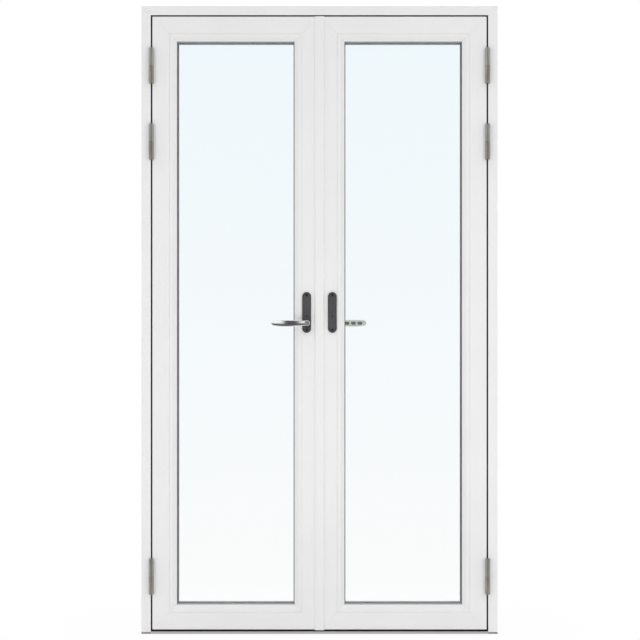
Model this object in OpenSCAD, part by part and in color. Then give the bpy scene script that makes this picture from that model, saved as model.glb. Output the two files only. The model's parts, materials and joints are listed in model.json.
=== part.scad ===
// Outward opening pair of glazed doors in a rebated frame.
// Timber members carry mitred aluminium cladding on the outside.
// +Z is up, -Y is the outside, and the origin is the middle of the threshold underside.

/* [Frame] */
// Overall width of the frame
frame_w = 1180; // [1000:10:1600]
// Overall height of the frame, threshold included
frame_h = 2080; // [1950:10:2300]
// Depth of the frame from outside face to room face
frame_d = 105; // [95:1:140]
// Width of jambs and head as seen from outside
jamb_face = 31; // [28:1:45]
// How far the stops stand in from the rebate
stop_w = 19; // [17:1:24]
// Depth of the leg that the frame cladding turns into the rebate
frame_clad_leg = 12; // [8:1:16]

/* [Threshold] */
// Thickness of the base board under the jambs
sill_t = 6.3; // [6:0.1:12]
// Thickness of the aluminium threshold plate
sill_plate_t = 2.3; // [1.5:0.1:4]
// Height of the threshold stop above the plate
sill_stop_h = 18.4; // [14:0.2:24]

/* [Gaps] */
// Gap between a jamb and its leaf
side_gap = 5.5; // [5.5:0.1:7]
// Gap between the head and the leaves
top_gap = 4; // [3:0.1:7]
// Gap between the threshold plate and the leaves
bottom_gap = 6.4; // [4:0.1:9]
// Gap between the two leaves at the outside face
meet_gap = 5; // [5:0.1:8]
// Gap between the leaves and the stops, filled by the stop seal
seal_gap = 4; // [3:0.1:6]

/* [Stop seal] */
// Width of the foot of the stop seal
seal_w = 8; // [6:0.5:10]
// Thickness of the foot of the stop seal
seal_foot = 1.2; // [0.8:0.1:1.6]
// Width of the seal lip at its root
lip_root_w = 4; // [3:0.5:5]
// Width of the seal lip at its tip
lip_tip_w = 2; // [1:0.5:3]

/* [Leaf] */
// Thickness of a leaf
leaf_t = 62; // [58:1:70]
// How much the meeting edge leans back from outside to inside
meet_bevel = 3; // [2.5:0.1:4]
// Wall thickness of the aluminium cladding
clad_t = 2; // [1.6:0.1:2.6]
// Depth of the cladding leg that wraps the edge of the leaf
clad_leg = 14; // [10:1:18]
// Width of the flat face of the leaf cladding
clad_flat = 56; // [55:1:70]
// Width of the open joint at each mitre of the cladding
mitre_gap = 0.3; // [0.1:0.05:0.5]

/* [Glazing] */
// Width of the groove between cladding and glazing bead
bead_groove = 1.2; // [1:0.1:4]
// Width of the flat of the glazing bead
bead_flat = 9.8; // [6:0.1:14]
// Width of the bevel of the glazing bead
bead_bevel_w = 13.5; // [10:0.5:18]
// Depth of the bevel of the glazing bead
bead_bevel_d = 8; // [6:0.5:9]
// Depth of the foot of the glazing bead below its bevel
bead_foot = 4; // [3:0.5:5]
// Width of the seal lip that shows beside the bead
seal_lip = 3; // [2:0.5:5]
// Thickness of the outer glazing seal
seal_t = 2; // [1.5:0.5:4]
// Thickness of the inner glazing tape
tape_t = 3; // [2:0.5:4]
// Thickness of each pane
pane_t = 4; // [3:0.5:6]
// Depth of the sealed space between the panes
cavity = 16; // [12:1:18]
// How far the glass reaches behind the sight line
glass_cover = 14.5; // [12:0.5:16]
// Space between the edge of the glass and the timber
glass_clear = 5; // [4:0.5:6]
// Width of the spacer with its edge sealant
spacer_w = 12; // [8:0.5:13]
// Chamfer of the timber lip on the room side
lip_chamfer = 8; // [4:1:12]
// Length of a setting block under the glass
block_l = 100; // [60:10:120]

/* [Meeting strip] */
// Width of the meeting strip
strip_w = 33; // [28:0.5:36]
// Thickness of the meeting strip
strip_t = 6; // [4:0.5:8]
// Thickness of the meeting strip at its edges
strip_edge = 1; // [0.6:0.1:2]
// Width of the rounding on the left leaf
strip_round_l = 10; // [4:0.5:12]
// Width of the rounding over the right leaf
strip_round_r = 6.5; // [3:0.5:10]
// How far the strip runs past the leaf at the bottom
strip_over = 1.5; // [0:0.5:3]

/* [Hinges] */
// Height of one hinge, both knuckles together
hinge_h = 119; // [90:1:150]
// Radius of the knuckles
hinge_r = 8; // [7:0.5:9]
// Radius of the hinge pins
pin_r = 5; // [4:0.5:5.5]
// Length of the pin above its knuckle
pin_l = 45; // [30:1:50]
// Thickness of the hinge plates
hinge_plate_t = 2.5; // [2:0.1:2.5]
// Depth of the hinge plates inside the gap
hinge_plate_d = 32; // [24:1:40]
// Chamfer at the outer end of each knuckle
knuckle_edge = 1; // [0.4:0.1:1.5]
// Distance from the top of the leaf to the middle of its top hinge
top_hinge_drop = 163.5; // [120:0.5:250]
// Distance between the two upper hinges
hinge_pitch = 251.5; // [180:0.5:600]
// Distance from the bottom of the leaf to the middle of its bottom hinge
bottom_hinge_rise = 177; // [120:1:300]

/* [Handles] */
// Height of the spindles
spindle_z = 1030; // [950:5:1100]
// Distance of the spindles from the meeting edge
backset = 38.5; // [36:0.5:44]
// Side of the square spindles
spindle_side = 8; // [7:0.5:9]
// Play of the spindle corners in the hole through the leaf
spindle_play = 0.8; // [0.5:0.1:1.2]
// Depth of the spindle socket in the lever neck
socket_l = 28; // [20:1:30]
// Width of a handle plate
plate_w = 29; // [26:1:32]
// Length of a handle plate
plate_l = 135; // [125:1:160]
// Thickness of a handle plate
plate_t = 8; // [6:0.5:12]
// Chamfer round the face of a handle plate
plate_chamfer = 3; // [0.5:0.5:4]
// How far the plate middle lies further from the meeting edge than the spindle
plate_shift = 1.5; // [0:0.5:3]
// Height of the plate middle above the spindle
plate_rise = 35; // [30:1:40]
// Distance between the two screws of a plate
screw_pitch = 115; // [104:1:117]
// Radius of the screw shanks
screw_r = 2; // [1.5:0.1:2.5]
// Radius of the screw heads
screw_head_r = 4.6; // [3.5:0.1:5]
// How deep the screw heads are sunk below the plate face
screw_sink = 0.8; // [0.2:0.1:1.5]
// Radius of the hexagon socket in a screw head
drive_r = 2.2; // [1.5:0.1:2.4]
// Depth of the hexagon socket in a screw head
drive_d = 1.6; // [1:0.1:2]
// Length of the outside screws
screw_l = 24; // [16:1:28]
// Height of the small lock hole above the spindle
lock_hole_rise = 22; // [18:1:26]
// Radius of the small lock hole
lock_hole_r = 2.6; // [1:0.1:3]
// Depth of the small lock hole
lock_hole_d = 3; // [1:0.5:5]
// Radius of the lever neck
neck_r = 9.4; // [8:0.1:10]
// How far the round end of the neck stands in front of the grip
neck_proud = 1; // [0.5:0.1:2]
// Chamfer round the end of the neck
neck_chamfer = 1; // [0.4:0.1:2]
// Distance from the plate face to the middle of the grip
neck_l = 38; // [32:1:50]
// Length of the grip from the spindle to the tip
grip_l = 118; // [100:1:135]
// Height of the grip at its neck
grip_h = 16; // [14:0.5:18]
// Extra height of the grip at its belly
grip_belly = 6; // [2:0.5:8]
// Thickness of the grip
grip_t = 10; // [8:0.5:12]
// How far the grip bows away from the leaf
grip_bow = 8; // [0:0.5:12]
// Number of pockets in the back of the grip
core_count = 3; // [1:1:3]
// Distance of the first pocket in the back of the grip from the spindle
core_start = 46; // [40:1:52]
// Distance between neighbouring pockets
core_pitch = 22; // [18:0.5:24]
// Length of a pocket
core_l = 16; // [10:0.5:17]
// Height of a pocket
core_h = 10; // [6:0.5:12]
// Depth of a pocket
core_d = 4.5; // [2:0.5:6]

/* [Lock] */
// Depth of the lock line behind the outside face
lock_d = 38; // [34:0.5:40]
// Width of the forends
forend_w = 18; // [16:0.5:20]
// Thickness of the forends
forend_t = 2.5; // [2:0.1:3]
// Thickness of a lock case
case_t = 16; // [14:0.5:16]
// Depth of a lock case behind its forend
case_depth = 54; // [52:0.5:56]
// Height of a lock case above the spindle
case_up = 90; // [80:1:120]
// Height of a lock case below the spindle
case_down = 45; // [40:1:50]
// Radius of the lock hubs
hub_r = 11; // [9:0.5:13]
// Thickness of a lock bolt
bolt_t = 10; // [8:0.5:10]
// Height of a lock bolt
bolt_h = 24; // [18:1:30]
// Travel of the lock bolts
bolt_throw = 16; // [12:0.5:18]
// Length of a lock bolt that stays in its guide when it is thrown
bolt_guide = 10; // [8:0.5:12]
// Distance from the top of the leaf to the upper lock bolt
upper_bolt_drop = 395; // [250:5:500]
// Distance from the bottom of the leaf to the lower lock bolt
lower_bolt_rise = 385; // [250:5:500]
// Drop of the middle lock bolt below the spindle
middle_bolt_drop = 75; // [70:1:100]
// Width of the drive rods and shoot bolts
rod_w = 10; // [8:0.5:10]
// Thickness of the drive rods and shoot bolts
rod_t = 5; // [4:0.5:6]
// Travel of the shoot bolts and drive rods
rod_throw = 13; // [9:0.5:14]
// Distance between the tail of a lock bolt and the rods
rod_clear = 2; // [1:0.5:3]
// Length of the round tip of a shoot bolt
tip_l = 40; // [30:1:60]
// Length of the keep plate in the head
keep_l = 50; // [40:1:60]
// Width of the keep plate in the head
keep_w = 22; // [18:1:26]
// Wall of the bush in the threshold
bush_wall = 2.5; // [1.5:0.1:3]

/* [Fixings] */
// Number of fixing holes in a jamb
fix_count = 4; // [2:1:4]
// Radius of the fixing holes in the jambs
fix_r = 5; // [3:0.5:6]
// Depth of the fixing holes behind the outside face
fix_d = 56; // [52:1:60]
// Height of the lowest fixing hole
fix_z = 350; // [300:10:400]
// Distance between neighbouring fixing holes
fix_pitch = 400; // [300:10:410]

/* [Clearances] */
// Radial play of a pin or neck in its bore
run_clear = 0.06; // [0.03:0.01:0.1]
// Side play of a sliding piece in its guide
slide_clear = 0.3; // [0.2:0.05:0.5]
// Gap between a hinge knuckle and the face behind it
knuckle_clear = 0.5; // [0.4:0.1:1]
// Height of the joint between two knuckles
knuckle_gap = 0.6; // [0.4:0.1:1]

/* [Hidden] */
$fn = 48;
LEVER_RINGS = 18;
LEVER_SIDES = 18;
ROUND_STEPS = 8;
DRIVE_SIDES = 6;
// How far the belly of a grip lies towards its tip, the share of it that moves the middle down,
// and the least size of the end rings
BELLY_BIAS = 1.36;
BELLY_DROP = 0.2;
END_HEIGHT = 0.15;
END_THICKNESS = 0.35;
CUT = 1;

// Outside face, leaf edges and rebates
y_out = -frame_d / 2;
leaf_x0 = -frame_w / 2 + jamb_face + side_gap;
leaf_x1 = -meet_gap / 2;
leaf_w = leaf_x1 - leaf_x0;
sill_top = sill_t + sill_plate_t;
leaf_z0 = sill_top + bottom_gap;
head_z = frame_h - jamb_face;
leaf_z1 = head_z - top_gap;
leaf_h = leaf_z1 - leaf_z0;
stop_d = leaf_t + seal_gap;
stop_top = sill_top + sill_stop_h;
rebate_x = frame_w / 2 - jamb_face;
stop_x = rebate_x - stop_w;

// Leaf section, as distances from the leaf edge and depths behind the outside face
bead_s0 = clad_flat + bead_groove;
bevel_s0 = bead_s0 + bead_flat;
bead_s1 = bevel_s0 + bead_bevel_w;
sight_s = bead_s1 + seal_lip;
glass_s = sight_s - glass_cover;
rebate_s = glass_s - glass_clear;
timber_d = 2 * clad_t;
glass_d = bead_bevel_d + bead_foot + seal_t;
unit_t = 2 * pane_t + cavity;
lip_d = glass_d + unit_t + tape_t;
member_reach = sight_s + CUT;

// Hinge line of the left leaf
hinge_x = leaf_x0 - side_gap / 2;
hinge_y = y_out - hinge_r - knuckle_clear;
knuckle_h = (hinge_h - knuckle_gap) / 2;
top_hinge_z = leaf_z1 - top_hinge_drop;
HINGE_Z = [top_hinge_z, top_hinge_z - hinge_pitch, leaf_z0 + bottom_hinge_rise];

// Lock line, as distances from the meeting edge
forend_s = meet_bevel * (lock_d + forend_w / 2) / leaf_t;
groove_s = forend_s + forend_t;
bolt_l = bolt_throw + bolt_guide;
rod_s = forend_s + bolt_l + rod_clear + rod_w / 2;
upper_bolt_z = leaf_z1 - upper_bolt_drop;
lower_bolt_z = leaf_z0 + lower_bolt_rise;
BOLT_Z = [upper_bolt_z, spindle_z - middle_bolt_drop, lower_bolt_z];
case_z0 = spindle_z - case_down;
case_z1 = spindle_z + case_up;
plate_z = spindle_z + plate_rise;
shoot_x = -leaf_x1 + rod_s;
lock_y = y_out + lock_d;
keep_hole_r = rod_w / 2 + 2 * slide_clear;
keep_bush_r = keep_hole_r + bush_wall;
spindle_hole_r = spindle_side / sqrt(2) + spindle_play;

PAINT = [0.91, 0.91, 0.92];
TIMBER = [0.9, 0.89, 0.87];
GLASS = [0.86, 0.93, 0.98, 0.4];
RUBBER = [0.2, 0.21, 0.23];
STEEL = [0.62, 0.62, 0.61];
ANTHRACITE = [0.31, 0.31, 0.33];
SATIN = [0.75, 0.75, 0.76];

// Turns a piece of the left half into its twin on the right
module right_side() { mirror([1, 0, 0]) children(); }

// Sets a section of (distance from the leaf edge, depth) at the hinge edge of the left leaf
module at_hinge_edge() { translate([leaf_x0, y_out, leaf_z0]) children(); }

// The same at the meeting edge, where the distance runs back to the left
module at_meeting_edge() { translate([leaf_x1, y_out, leaf_z0]) mirror([1, 0, 0]) children(); }

// Sets a piece at a height of the lock line, with X running from the meeting edge into the leaf
module on_lock_line(z) { translate([leaf_x1, lock_y, z]) mirror([1, 0, 0]) children(); }

// Turns an upright side so that it lies along X, with its edge down
module lying() { mirror([0, 0, 1]) rotate([0, 90, 0]) children(); }

// A cylinder along Y from one depth to another
module through(r, from, to) {
    translate([0, from, 0]) rotate([-90, 0, 0]) cylinder(r = r, h = to - from);
}

// One length of a section with both ends cut at 45 degrees
module mitred_length(length, reach, gap) {
    intersection() {
        linear_extrude(height = length) children();
        translate([0, leaf_t, 0]) rotate([90, 0, 0]) linear_extrude(height = leaf_t + CUT)
            polygon([[0, gap], [reach, reach + gap], [reach, length - reach - gap], [0, length - gap]]);
    }
}

// Four mitred lengths round the left leaf
module mitred_frame(reach, gap = 0) {
    at_hinge_edge() mitred_length(leaf_h, reach, gap) children();
    at_meeting_edge() mitred_length(leaf_h, reach, gap) children();
    at_hinge_edge() lying() mitred_length(leaf_w, reach, gap) children();
    translate([leaf_x0, y_out, leaf_z1]) rotate([0, 90, 0]) mitred_length(leaf_w, reach, gap) children();
}

// A flat ring of the left leaf: from one distance to another, between two depths
module leaf_ring(s0, s1, d0, d1) {
    difference() {
        translate([leaf_x0 + s0, y_out + d0, leaf_z0 + s0])
            cube([leaf_w - 2 * s0, d1 - d0, leaf_h - 2 * s0]);
        translate([leaf_x0 + s1, y_out + d0 - CUT, leaf_z0 + s1])
            cube([leaf_w - 2 * s1, d1 - d0 + 2 * CUT, leaf_h - 2 * s1]);
    }
}

// Frame members
module jamb_section() {
    polygon([[0, clad_t], [jamb_face - clad_t, clad_t], [jamb_face - clad_t, frame_clad_leg],
        [jamb_face, frame_clad_leg], [jamb_face, stop_d], [jamb_face + stop_w, stop_d],
        [jamb_face + stop_w, frame_d], [0, frame_d]]);
}

module jamb_clad_section() {
    polygon([[0, 0], [jamb_face, 0], [jamb_face, frame_clad_leg],
        [jamb_face - clad_t, frame_clad_leg], [jamb_face - clad_t, clad_t], [0, clad_t]]);
}

module fixing_holes() {
    for (i = [0 : fix_count - 1])
        translate([-CUT, fix_d, fix_z + i * fix_pitch - sill_t])
            rotate([0, 90, 0]) cylinder(r = fix_r, h = jamb_face + stop_w + 2 * CUT);
}

module left_jamb() {
    color(TIMBER) translate([-frame_w / 2, y_out, sill_t]) difference() {
        linear_extrude(height = head_z - sill_t) jamb_section();
        fixing_holes();
    }
}

module right_jamb() { right_side() left_jamb(); }

module head() {
    color(TIMBER) difference() {
        union() {
            translate([-frame_w / 2, y_out + frame_clad_leg, head_z])
                cube([frame_w, frame_d - frame_clad_leg, jamb_face]);
            translate([-frame_w / 2, y_out + clad_t, head_z + clad_t])
                cube([frame_w, frame_clad_leg, jamb_face - clad_t]);
            translate([-stop_x, y_out + stop_d, head_z - stop_w])
                cube([2 * stop_x, frame_d - stop_d, stop_w + CUT]);
        }
        translate([shoot_x, lock_y, head_z - CUT]) cylinder(r = keep_hole_r, h = rod_throw + CUT);
        translate([shoot_x - keep_l / 2, lock_y - keep_w / 2, head_z - CUT])
            cube([keep_l, keep_w, forend_t + CUT]);
    }
}

module head_keep() {
    color(STEEL) translate([shoot_x, lock_y, head_z]) difference() {
        translate([-keep_l / 2, -keep_w / 2, 0]) cube([keep_l, keep_w, forend_t]);
        translate([0, 0, -CUT]) cylinder(r = keep_hole_r, h = forend_t + 2 * CUT);
    }
}

module left_jamb_cladding() {
    color(PAINT) translate([-frame_w / 2, y_out, sill_t]) intersection() {
        linear_extrude(height = frame_h - sill_t) jamb_clad_section();
        translate([0, frame_clad_leg, 0]) rotate([90, 0, 0]) linear_extrude(height = frame_clad_leg + CUT)
            polygon([[0, 0], [jamb_face, 0], [jamb_face, head_z - sill_t - mitre_gap],
                [0, frame_h - sill_t - mitre_gap]]);
    }
}

module right_jamb_cladding() { right_side() left_jamb_cladding(); }

module head_cladding() {
    color(PAINT) translate([-frame_w / 2, y_out, frame_h]) rotate([0, 90, 0])
        mitred_length(frame_w, jamb_face, 0) jamb_clad_section();
}

module threshold_base() {
    color([0.55, 0.52, 0.5]) difference() {
        union() {
            translate([-frame_w / 2, y_out, 0]) cube([frame_w, frame_d, sill_t]);
            translate([-stop_x, y_out + stop_d, 0]) cube([2 * stop_x, frame_d - stop_d, stop_top]);
        }
        translate([-rebate_x, y_out - CUT, -CUT]) cube([2 * rebate_x, clad_t + CUT, sill_t + 2 * CUT]);
        translate([shoot_x, lock_y, -CUT]) cylinder(r = keep_bush_r + run_clear, h = sill_t + 2 * CUT);
    }
}

// Plate with a rolled nose that covers the front edge of the base
module threshold_plate() {
    nose_r = sill_plate_t / 2;
    color([0.75, 0.75, 0.76]) difference() {
        translate([-rebate_x, y_out, 0]) rotate([90, 0, 90]) linear_extrude(height = 2 * rebate_x) union() {
            translate([nose_r, sill_t]) square([stop_d - nose_r, sill_plate_t]);
            translate([nose_r, sill_t + nose_r]) circle(r = nose_r);
            square([clad_t, sill_t + nose_r]);
        }
        translate([shoot_x, lock_y, 0]) cylinder(r = keep_bush_r + run_clear, h = sill_top + CUT);
    }
}

module threshold_keep() {
    color(STEEL) translate([shoot_x, lock_y, 0]) difference() {
        cylinder(r = keep_bush_r, h = sill_top);
        translate([0, 0, -CUT]) cylinder(r = keep_hole_r, h = sill_top + 2 * CUT);
    }
}

// Lip seal on the stops, all round the opening
module stop_seal_section() {
    lip = seal_gap - slide_clear;
    root0 = (seal_w - lip_root_w) / 2;
    tip0 = (seal_w - lip_tip_w) / 2;
    polygon([[0, 0], [seal_w, 0], [seal_w, -seal_foot], [root0 + lip_root_w, -seal_foot],
        [tip0 + lip_tip_w, -lip], [tip0, -lip], [root0, -seal_foot], [0, -seal_foot]]);
}

module stop_seal() {
    seal_x = stop_x + seal_w + CUT;
    seal_z0 = stop_top - CUT;
    seal_z1 = head_z - stop_w + CUT;
    color(RUBBER) translate([0, y_out + stop_d, 0]) {
        for (side = [0, 1]) mirror([side, 0, 0])
            translate([-seal_x, 0, seal_z0 - seal_w])
                linear_extrude(height = seal_z1 - seal_z0 + 2 * seal_w) stop_seal_section();
        for (z = [seal_z0 - seal_w, seal_z1])
            translate([-seal_x + seal_w, 0, z]) lying()
                linear_extrude(height = 2 * (seal_x - seal_w)) stop_seal_section();
    }
}

// Hinges: the frame half holds the pin, the leaf half lifts off it
module hinge_plate(side) {
    plate_x = side < 0 ? -side_gap / 2 : side_gap / 2 - hinge_plate_t;
    tab_z = side < 0 ? -hinge_h / 2 : hinge_h / 2 - knuckle_h;
    translate([plate_x, hinge_r + knuckle_clear, -hinge_h / 2])
        cube([hinge_plate_t, hinge_plate_d, hinge_h]);
    translate([plate_x, 0, tab_z]) cube([hinge_plate_t, hinge_r + knuckle_clear + CUT, knuckle_h]);
}

// A knuckle that stands on the joint and is chamfered at its far end
module knuckle() {
    translate([0, 0, knuckle_gap / 2]) rotate_extrude()
        polygon([[0, 0], [hinge_r, 0], [hinge_r, knuckle_h - knuckle_edge],
            [hinge_r - knuckle_edge, knuckle_h], [0, knuckle_h]]);
}

module left_hinge_pins() {
    color(STEEL) for (z = HINGE_Z) translate([hinge_x, hinge_y, z]) {
        mirror([0, 0, 1]) knuckle();
        hinge_plate(-1);
        translate([0, 0, -hinge_h / 2 + CUT]) cylinder(r = pin_r, h = knuckle_h + pin_l - CUT);
    }
}

module right_hinge_pins() { right_side() left_hinge_pins(); }

module left_hinge_knuckles() {
    color(STEEL) for (z = HINGE_Z) translate([hinge_x, hinge_y, z]) difference() {
        union() {
            knuckle();
            hinge_plate(1);
        }
        translate([0, 0, -CUT]) cylinder(r = pin_r + run_clear, h = pin_l + 2 * CUT);
    }
}

module right_hinge_knuckles() { right_side() left_hinge_knuckles(); }

// Timber members of a leaf
module timber_section(bevel) {
    polygon([[clad_t, timber_d], [rebate_s, timber_d], [rebate_s, lip_d], [sight_s, lip_d],
        [sight_s, leaf_t - lip_chamfer], [sight_s - lip_chamfer, leaf_t], [bevel, leaf_t],
        [bevel * clad_leg / leaf_t, clad_leg], [clad_t, clad_leg]]);
}

module left_hinge_stile() {
    color(TIMBER) at_hinge_edge() stile_blank(0);
}

module right_hinge_stile() { right_side() left_hinge_stile(); }

// A stile stops short of the cladding at its ends
module stile_blank(bevel) {
    difference() {
        linear_extrude(height = leaf_h) timber_section(bevel);
        for (z = [-CUT, leaf_h - clad_t])
            translate([-CUT, -CUT, z]) cube([member_reach + CUT, clad_leg + CUT, clad_t + CUT]);
    }
}

// A rail is coped to the lips of both stiles
module rail_blank() {
    difference() {
        translate([0, 0, rebate_s]) linear_extrude(height = leaf_w - 2 * rebate_s) timber_section(0);
        lying() linear_extrude(height = sight_s * 2) timber_section(0);
        translate([0, 0, leaf_w]) mirror([0, 0, 1]) lying()
            linear_extrude(height = sight_s * 2) timber_section(0);
    }
}

module left_bottom_rail() {
    color(TIMBER) at_hinge_edge() lying() rail_blank();
}

module left_top_rail() {
    color(TIMBER) translate([leaf_x0, y_out, leaf_z1]) rotate([0, 90, 0]) rail_blank();
}

module right_bottom_rail() { right_side() left_bottom_rail(); }

module right_top_rail() { right_side() left_top_rail(); }

// The lock stile is housed for the forend, the rods, the lock case and the handles
module lock_housings() {
    rod_play = rod_w + 2 * slide_clear;
    bolt_play = [bolt_l + slide_clear, bolt_t + 2 * slide_clear, bolt_h + 2 * slide_clear];
    translate([-CUT, lock_d - forend_w / 2, -CUT]) cube([groove_s + CUT, forend_w, leaf_h + 2 * CUT]);
    translate([forend_s, lock_d - rod_play / 2, -CUT])
        cube([rod_s + rod_play / 2 - forend_s, rod_play, leaf_h + 2 * CUT]);
    translate([forend_s, lock_d - case_t / 2, case_z0 - leaf_z0])
        cube([case_depth + forend_t, case_t, case_z1 - case_z0]);
    for (z = BOLT_Z)
        translate([forend_s, lock_d - bolt_play.y / 2, z - bolt_play.z / 2 - leaf_z0]) cube(bolt_play);
    handle_holes();
}

// Holes of the spindle and of the plate screws, right through the leaf
module handle_holes() {
    translate([backset, 0, spindle_z - leaf_z0]) through(spindle_hole_r, -CUT, leaf_t + CUT);
    for (z = [-1, 1]) translate([backset + plate_shift, 0, plate_z + z * screw_pitch / 2 - leaf_z0]) {
        through(screw_r + run_clear, -CUT, screw_l);
        through(screw_r + run_clear, leaf_t - screw_l / 2, leaf_t + CUT);
    }
}

module left_lock_stile() {
    color(TIMBER) at_meeting_edge() difference() {
        stile_blank(meet_bevel);
        lock_housings();
    }
}

module right_lock_stile() { right_side() left_lock_stile(); }

// Aluminium on the outside of a leaf
module cladding_section() {
    polygon([[0, 0], [clad_flat, 0], [clad_flat, clad_t], [rebate_s, clad_t], [rebate_s, timber_d],
        [clad_flat - clad_t, timber_d], [clad_flat - clad_t, clad_t], [clad_t, clad_t],
        [clad_t, clad_leg], [0, clad_leg]]);
}

module left_cladding() {
    color(PAINT) difference() {
        mitred_frame(member_reach, mitre_gap / 2) cladding_section();
        at_meeting_edge() handle_holes();
    }
}

module right_cladding() { right_side() left_cladding(); }

module bead_section() {
    foot_d = bead_bevel_d + bead_foot;
    slope = atan2(bead_bevel_d, bead_bevel_w);
    polygon([[bead_s0, 0], [bevel_s0, 0], [bead_s1, bead_bevel_d], [bead_s1, foot_d],
        [bead_s1 - clad_t, foot_d], [bead_s1 - clad_t, bead_bevel_d + clad_t * tan(45 - slope / 2)],
        [bevel_s0 - clad_t * tan(slope / 2), clad_t], [bead_s0, clad_t]]);
}

module left_glazing_beads() {
    color(PAINT) mitred_frame(member_reach, mitre_gap / 2) bead_section();
}

module right_glazing_beads() { right_side() left_glazing_beads(); }

// Glazing
module outer_seal_section() {
    seal_d = glass_d - seal_t;
    polygon([[bead_s1 - clad_t - seal_lip / 2, seal_d], [bead_s1, seal_d], [sight_s, seal_d + seal_t / 2],
        [sight_s, glass_d], [bead_s1 - clad_t - seal_lip / 2, glass_d]]);
}

module left_glazing_seals() {
    color(RUBBER) {
        mitred_frame(member_reach) outer_seal_section();
        leaf_ring(glass_s + CUT, sight_s - CUT, lip_d - tape_t, lip_d);
    }
}

module right_glazing_seals() { right_side() left_glazing_seals(); }

module pane(depth) {
    color(GLASS) translate([leaf_x0 + glass_s, y_out + depth, leaf_z0 + glass_s])
        cube([leaf_w - 2 * glass_s, pane_t, leaf_h - 2 * glass_s]);
}

module left_outer_pane() { pane(glass_d); }

module right_outer_pane() { right_side() left_outer_pane(); }

module left_inner_pane() { pane(glass_d + pane_t + cavity); }

module right_inner_pane() { right_side() left_inner_pane(); }

module left_spacer() {
    spacer_s = glass_s + CUT;
    spacer_d = glass_d + pane_t;
    color(RUBBER) leaf_ring(spacer_s, spacer_s + spacer_w, spacer_d, spacer_d + cavity);
}

module right_spacer() { right_side() left_spacer(); }

module left_setting_blocks() {
    inset = glass_s + block_l;
    color(RUBBER) for (x = [leaf_x0 + inset, leaf_x1 - inset - block_l])
        translate([x, y_out + glass_d, leaf_z0 + rebate_s]) cube([block_l, unit_t, glass_clear]);
}

module right_setting_blocks() { right_side() left_setting_blocks(); }

// Strip over the joint of the leaves, fixed to the left leaf and clear of the right one
function strip_side(sign, width) = [for (k = [0 : ROUND_STEPS])
    let (a = 90 * k / ROUND_STEPS)
    [sign * (strip_w / 2 - width * (1 - cos(a))), -strip_edge - (strip_t - strip_edge) * sin(a)]];

module meeting_strip() {
    right = strip_side(1, strip_round_r);
    color(PAINT) translate([0, y_out, leaf_z0 - strip_over]) linear_extrude(height = leaf_h + strip_over)
        polygon(concat([[-strip_w / 2, 0]], strip_side(-1, strip_round_l),
            [for (k = [ROUND_STEPS : -1 : 0]) right[k]],
            [[strip_w / 2, -slide_clear], [-leaf_x1, -slide_clear], [leaf_x1, 0]]));
}

// Lock
module left_lock_case() {
    color(STEEL) on_lock_line(0) difference() {
        translate([groove_s, -case_t / 2, case_z0]) cube([case_depth, case_t, case_z1 - case_z0]);
        translate([backset, 0, spindle_z]) through(hub_r + run_clear, -case_t, case_t);
    }
}

module right_lock_case() { right_side() left_lock_case(); }

module left_hub() {
    color(STEEL) on_lock_line(spindle_z) translate([backset, 0, 0]) difference() {
        through(hub_r, -case_t / 2, case_t / 2);
        spindle_bar(spindle_side + run_clear, -case_t, case_t);
    }
}

module right_hub() { right_side() left_hub(); }

// Square bar along Y
module spindle_bar(side, from, to) {
    translate([-side / 2, from, -side / 2]) cube([side, to - from, side]);
}

module forend() {
    color(STEEL) on_lock_line(0) difference() {
        translate([forend_s, -forend_w / 2, leaf_z0]) cube([forend_t, forend_w, leaf_h]);
        for (z = BOLT_Z) translate([0, -bolt_t / 2 - slide_clear, z - bolt_h / 2 - slide_clear])
            cube([groove_s + CUT, bolt_t + 2 * slide_clear, bolt_h + 2 * slide_clear]);
    }
}

module left_forend() { forend(); }

module right_forend() { right_side() forend(); }

module left_bolts() {
    color(SATIN) for (z = BOLT_Z) on_lock_line(z) translate([forend_s, -bolt_t / 2, -bolt_h / 2])
        cube([bolt_l, bolt_t, bolt_h]);
}

// A flat rod along the lock line between two heights
module rod(from, to) {
    translate([rod_s - rod_t / 2, -rod_w / 2, from]) cube([rod_t, rod_w, to - from]);
}

module left_drive_rods() {
    reach = bolt_h * 2;
    color(STEEL) on_lock_line(0) {
        rod(case_z1 + slide_clear, upper_bolt_z + reach);
        rod(lower_bolt_z - reach, case_z0 - rod_throw - CUT);
    }
}

module upper_shoot_bolt() {
    color(SATIN) right_side() on_lock_line(0) {
        rod(case_z1 + slide_clear, leaf_z1 - tip_l);
        translate([rod_s, 0, leaf_z1 - tip_l - CUT]) cylinder(r = rod_w / 2, h = tip_l + CUT - slide_clear);
    }
}

module lower_shoot_bolt() {
    color(SATIN) right_side() on_lock_line(0) {
        rod(leaf_z0 + tip_l, case_z0 - slide_clear);
        translate([rod_s, 0, leaf_z0 + slide_clear]) cylinder(r = rod_w / 2, h = tip_l + CUT - slide_clear);
    }
}

// Handle plates: long sides straight, ends round, face chamfered
module plate_blank() {
    straight = plate_l - plate_w;
    wall = plate_t - plate_chamfer;
    linear_extrude(height = straight, center = true)
        polygon([[-plate_w / 2, 0], [-plate_w / 2, -wall], [plate_chamfer - plate_w / 2, -plate_t],
            [plate_w / 2 - plate_chamfer, -plate_t], [plate_w / 2, -wall], [plate_w / 2, 0]]);
    for (z = [-1, 1]) translate([0, 0, z * straight / 2]) rotate([90, 0, 0]) rotate_extrude()
        polygon([[0, 0], [plate_w / 2, 0], [plate_w / 2, wall], [plate_w / 2 - plate_chamfer, plate_t],
            [0, plate_t]]);
}

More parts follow.
